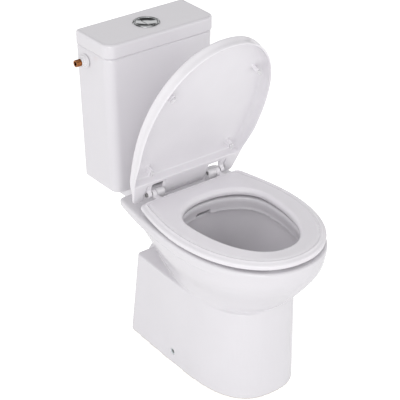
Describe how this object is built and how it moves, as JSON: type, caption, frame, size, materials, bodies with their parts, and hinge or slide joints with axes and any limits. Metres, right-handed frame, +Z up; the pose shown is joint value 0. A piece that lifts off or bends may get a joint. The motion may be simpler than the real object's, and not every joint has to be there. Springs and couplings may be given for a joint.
{
  "type": "close coupled toilet",
  "caption": "Floor standing close coupled toilet: ceramic pan, tapered cistern with dual flush button, seat and a soft closing lid held part open.",
  "frame": {"origin": "on the floor, midway between the holes of the two floor brackets", "axes": "+X right as one faces the toilet, -Y towards the front, +Z up"},
  "size_m": [0.3617, 0.666, 0.8519],
  "materials": {
    "vitreous_china": "clear glossy glaze",
    "seat_plastic": "polished urea moulding",
    "white_plastic": "moulded, glossy",
    "valve_plastic": "moulded, satin",
    "chrome": "polished plating",
    "brass": "turned, bare",
    "steel": "zinc plated",
    "rubber": "moulded",
    "clear_rubber": "translucent moulded"
  },
  "bodies": {
    "pan": {"pan": "vitreous_china", "floor_bracket_left": "valve_plastic", "floor_bracket_right": "valve_plastic", "side_fixing_sleeves": "valve_plastic", "side_fixing_screws": "steel", "cistern_tank": "vitreous_china", "tank_bolts": "steel", "tank_bolt_seals": "rubber", "tank_bolt_washers": "steel", "tank_wing_nuts": "valve_plastic", "cistern_gasket": "rubber", "flush_valve_base": "valve_plastic", "flush_valve_nut": "valve_plastic", "flush_valve_tower": "valve_plastic", "lever_pin": "steel", "inlet_shank": "brass", "inlet_nut": "white_plastic", "inlet_washer": "rubber", "fill_valve_body": "valve_plastic", "blanking_plug": "white_plastic", "blanking_plug_nut": "white_plastic", "hinge_base_left": "white_plastic", "hinge_base_right": "white_plastic", "hinge_pin_left": "steel", "hinge_pin_right": "steel", "hinge_screws": "steel", "hinge_plugs": "rubber"},
    "cistern_lid": {"cistern_lid": "vitreous_china", "button_bezel": "chrome", "button_housing": "valve_plastic", "housing_nut": "valve_plastic", "full_flush_spring": "steel", "half_flush_spring": "steel"},
    "full_flush": {"full_flush_button": "chrome", "full_flush_rod": "valve_plastic"},
    "half_flush": {"half_flush_button": "chrome", "half_flush_rod": "valve_plastic"},
    "flush_lever": {"flush_lever": "valve_plastic"},
    "valve_tube": {"overflow_tube": "valve_plastic", "valve_seal": "rubber"},
    "float": {"float_arm": "brass", "float_drum": "valve_plastic"},
    "seat": {"seat_ring": "seat_plastic", "seat_buffers": "clear_rubber"},
    "lid": {"seat_lid": "seat_plastic", "lid_buffers": "clear_rubber"}
  },
  "joints": [
    {"name": "lid_hinge", "type": "hinge", "parent": "pan", "child": "lid", "pos_m": [0, 0.099, 0.426], "axis": [-1, 0, 0], "range_deg": [-67.5, 29]},
    {"name": "seat_hinge", "type": "hinge", "parent": "pan", "child": "seat", "pos_m": [0, 0.099, 0.426], "axis": [-1, 0, 0], "range_deg": [0, 64]},
    {"name": "cistern_lid_lift", "type": "slide", "parent": "pan", "child": "cistern_lid", "axis": [0, 0, 1], "range_m": [0, 0.12]},
    {"name": "full_flush_press", "type": "slide", "parent": "cistern_lid", "child": "full_flush", "axis": [0, 0, -1], "range_m": [0, 0.006], "stiffness_N_per_m": 300, "springref_m": -0.004, "deforming": ["full_flush_spring"]},
    {"name": "half_flush_press", "type": "slide", "parent": "cistern_lid", "child": "half_flush", "axis": [0, 0, -1], "range_m": [0, 0.006], "stiffness_N_per_m": 300, "springref_m": -0.004, "deforming": ["half_flush_spring"]},
    {"name": "flush_lever_tilt", "type": "hinge", "parent": "pan", "child": "flush_lever", "pos_m": [0.044, 0.25, 0.69], "axis": [0, 1, 0], "range_deg": [0, 28.7]},
    {"name": "valve_lift", "type": "slide", "parent": "pan", "child": "valve_tube", "axis": [0, 0, 1], "range_m": [0, 0.0121]},
    {"name": "float_swing", "type": "hinge", "parent": "pan", "child": "float", "pos_m": [-0.092, 0.299, 0.722], "axis": [0, 1, 0], "range_deg": [0, 16]}
  ],
  "couplings": [
    {"joint": "flush_lever_tilt", "follows": "full_flush_press", "rad_per_m": 83.3},
    {"joint": "valve_lift", "follows": "full_flush_press", "ratio": 2}
  ]
}
